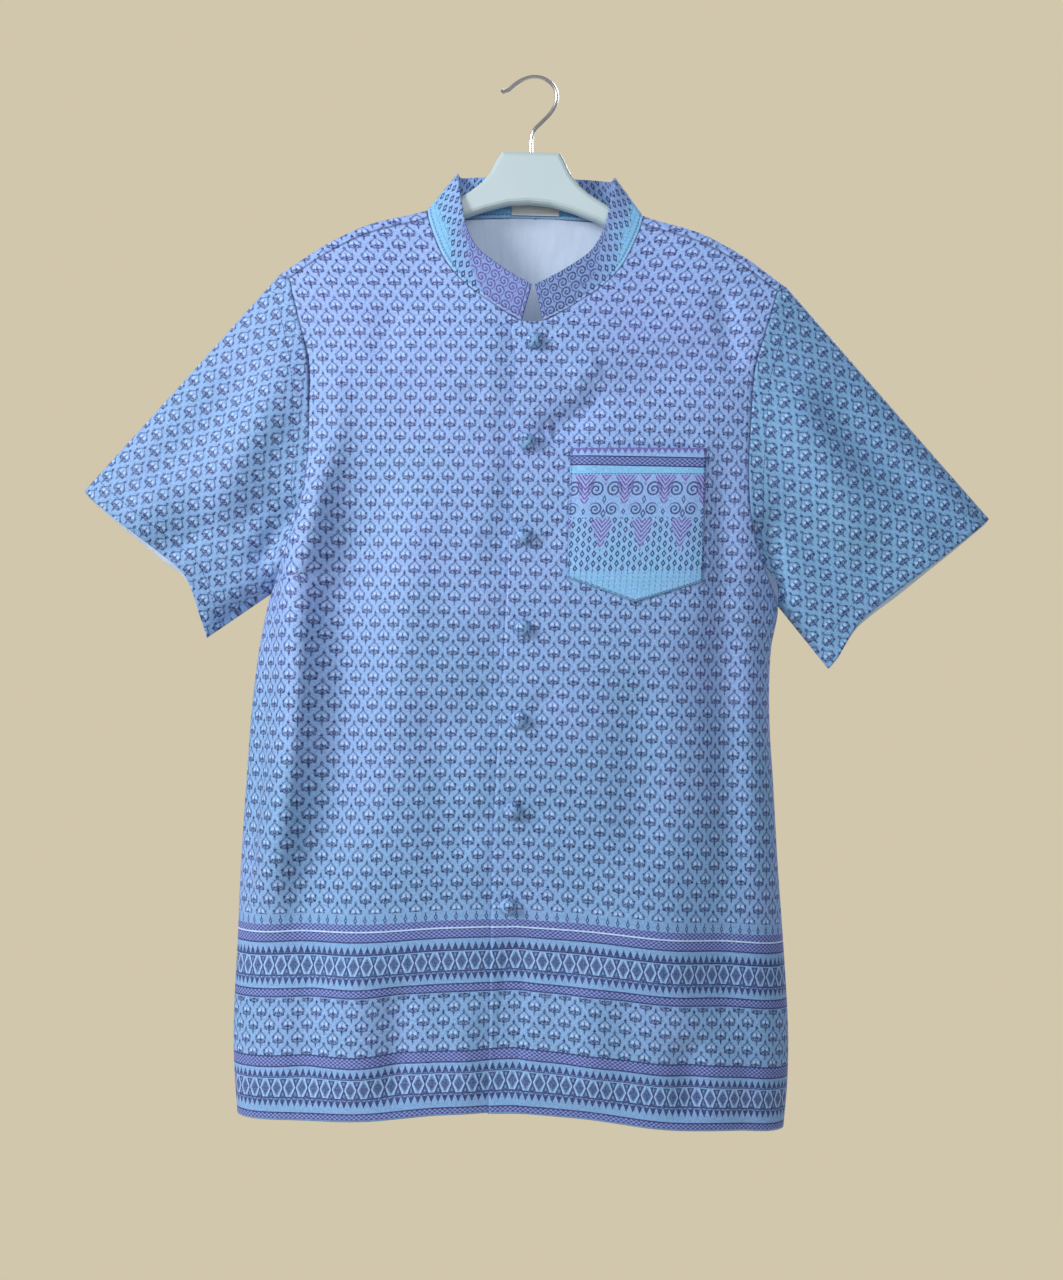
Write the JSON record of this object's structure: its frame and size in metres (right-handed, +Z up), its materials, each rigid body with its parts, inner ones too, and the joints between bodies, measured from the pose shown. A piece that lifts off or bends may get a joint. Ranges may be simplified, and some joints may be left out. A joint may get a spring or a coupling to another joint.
{
  "type": "mandarin collar shirt on a clothes hanger",
  "caption": "Short-sleeved stand-collar shirt in a printed brocade-style cloth, buttoned down the front, hanging on a plastic hanger with a wire hook.",
  "frame": {"origin": "inside of the hook's crown, where a nail or rod bears", "axes": "+Z up, the shirt's front faces -Y, +X to the right of someone who looks at the front"},
  "size_m": [0.7422, 0.098, 0.8547],
  "materials": {
    "printed_cotton": "light blue cotton-silk with a fine dark blue and purple woven pattern, faint sheen",
    "label_satin": "plain pale satin, blank",
    "hanger_plastic": "pale moulded plastic, soft gloss",
    "hook_steel": "bright plated wire"
  },
  "bodies": {
    "root": {"front_left": "printed_cotton", "front_right": "printed_cotton", "back": "printed_cotton", "sleeve_left": "printed_cotton", "sleeve_right": "printed_cotton", "collar": "printed_cotton", "pocket": "printed_cotton", "button_1": "printed_cotton", "button_2": "printed_cotton", "button_3": "printed_cotton", "button_4": "printed_cotton", "button_5": "printed_cotton", "button_6": "printed_cotton", "button_7": "printed_cotton", "neck_label": "label_satin", "hanger_body": "hanger_plastic", "hanger_hook": "hook_steel"}
  },
  "joints": []
}
